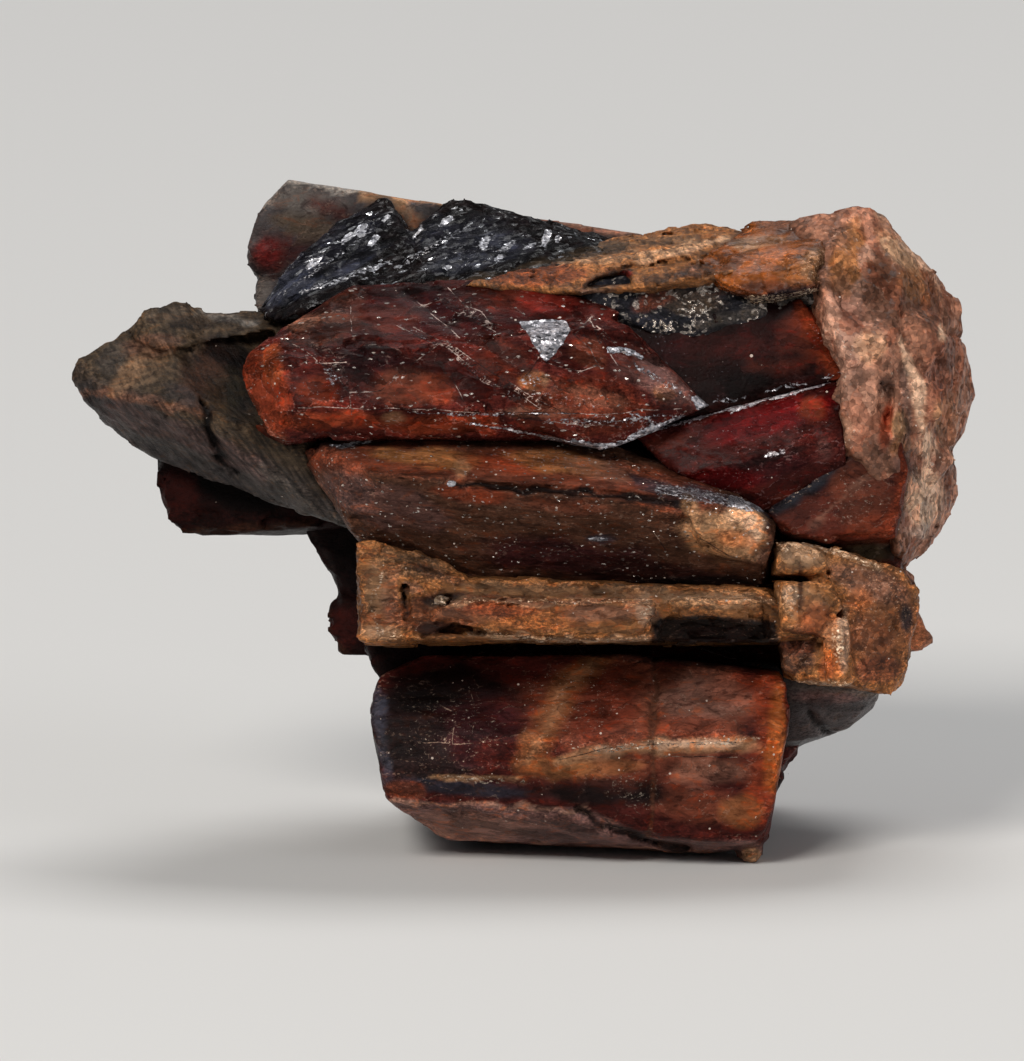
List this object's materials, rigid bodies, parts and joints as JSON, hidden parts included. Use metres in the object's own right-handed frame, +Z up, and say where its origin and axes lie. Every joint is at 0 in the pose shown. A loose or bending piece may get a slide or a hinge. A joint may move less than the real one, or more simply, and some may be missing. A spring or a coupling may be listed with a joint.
{
  "type": "rhodonite specimen",
  "caption": "Cluster of blocky dark red, brown and black crystals grown side by side on a rough granular base, resting flat.",
  "frame": {"origin": "under the middle of the bounding box, on the surface that the specimen rests on", "axes": "+Z up, +X along the length of the crystals towards the granular base, +Y away from the side that the picture shows"},
  "size_m": [0.0454, 0.025, 0.0329],
  "materials": {
    "rhodonite": "gloss",
    "weathered_crystal": "satin",
    "black_crystal": "gloss",
    "granular_base": "matte"
  },
  "bodies": {
    "root": {"crystal_cluster": "rhodonite"}
  },
  "joints": []
}
